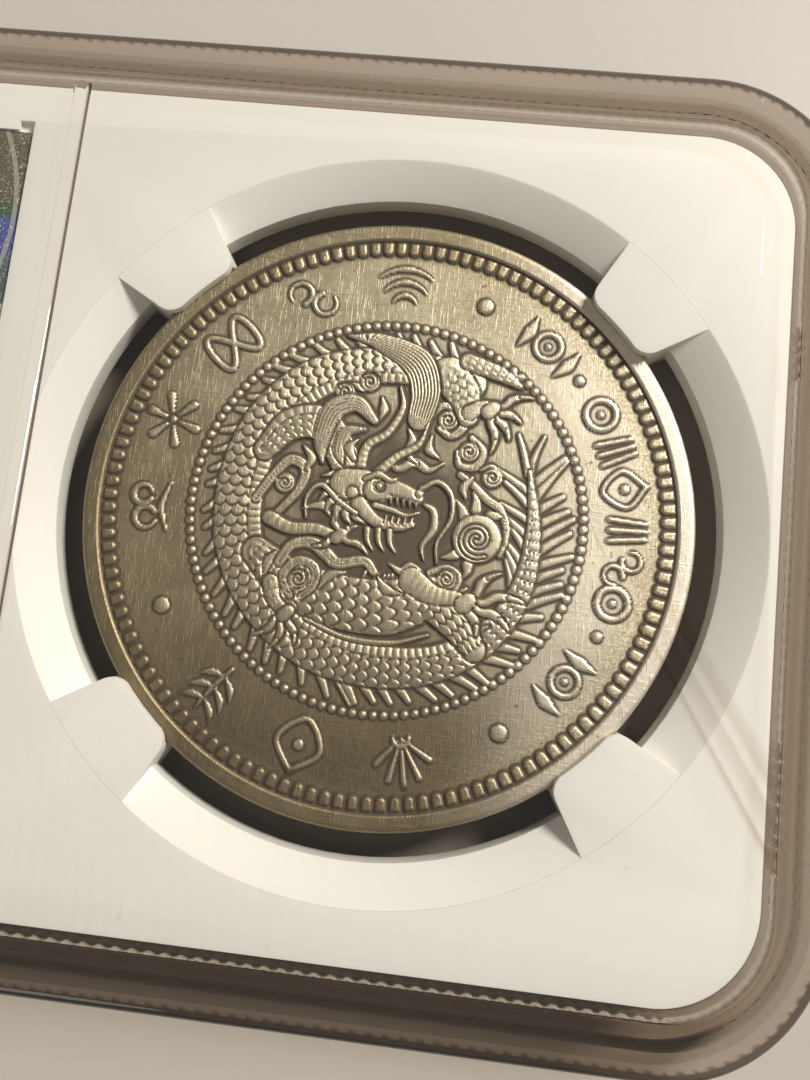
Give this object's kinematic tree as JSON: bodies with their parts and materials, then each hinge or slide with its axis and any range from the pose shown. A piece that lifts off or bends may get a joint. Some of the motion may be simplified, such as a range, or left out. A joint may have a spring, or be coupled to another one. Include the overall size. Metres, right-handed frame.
{
  "type": "graded coin slab",
  "caption": "Sealed clear slab with a raised rim and two windows: a white four-pronged core holds a crown-size silver coin by its edge, with a foil-patched label above it on each side.",
  "frame": {"origin": "middle of the rear face that the slab lies on", "axes": "+X across the slab to the reader's right, +Y along it from the coin to the label, +Z out of the front window"},
  "size_m": [0.0598, 0.0856, 0.008],
  "materials": {
    "clear_plastic": "clear, polished",
    "white_core": "satin, off-white",
    "label_card": "printed card",
    "label_foil": "diffraction foil",
    "coin_silver": "circulated silver, toned"
  },
  "bodies": {
    "slab": {"rear_shell": "clear_plastic", "front_shell": "clear_plastic", "core": "white_core", "front_label": "label_card", "rear_label": "label_card", "front_foil": "label_foil", "rear_foil": "label_foil"},
    "coin": {"coin": "coin_silver"}
  },
  "joints": [
    {"name": "coin_turn", "type": "hinge", "parent": "slab", "child": "coin", "pos_m": [0, -0.0156, 0.004], "axis": [0, 0, 1], "continuous": true}
  ]
}
